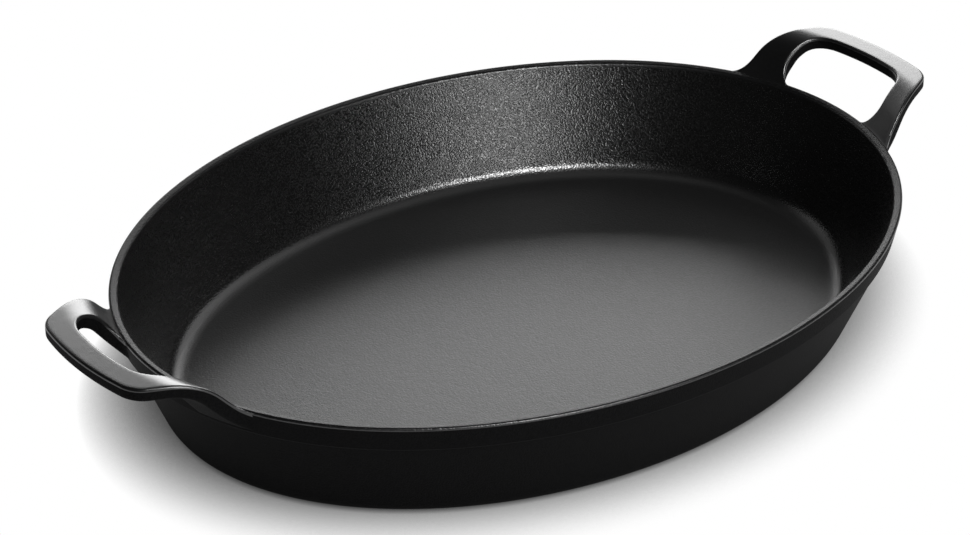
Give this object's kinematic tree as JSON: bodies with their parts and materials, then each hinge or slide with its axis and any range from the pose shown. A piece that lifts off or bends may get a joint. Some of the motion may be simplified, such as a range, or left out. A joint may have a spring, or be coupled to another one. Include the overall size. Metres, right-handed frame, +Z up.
{
  "type": "oval baking dish",
  "caption": "Shallow oval cast-iron baking dish with flared walls, a rim band, a dark enamel cooking surface and raised loop handles at the ends of its long axis.",
  "frame": {"origin": "on the standing plane, under the middle of the bowl", "axes": "+X along the long axis to the right handle, +Y across the short axis, +Z up"},
  "size_m": [0.4358, 0.2796, 0.0707],
  "materials": {
    "outer_enamel": "cast iron under satin black enamel",
    "cooking_enamel": "matt black enamel with a fine raised grain on the wall and a smoother floor",
    "handle_enamel": "cast iron under satin black enamel"
  },
  "bodies": {
    "root": {"dish_body": "outer_enamel", "interior_enamel": "cooking_enamel", "right_handle": "handle_enamel", "left_handle": "handle_enamel"}
  },
  "joints": []
}
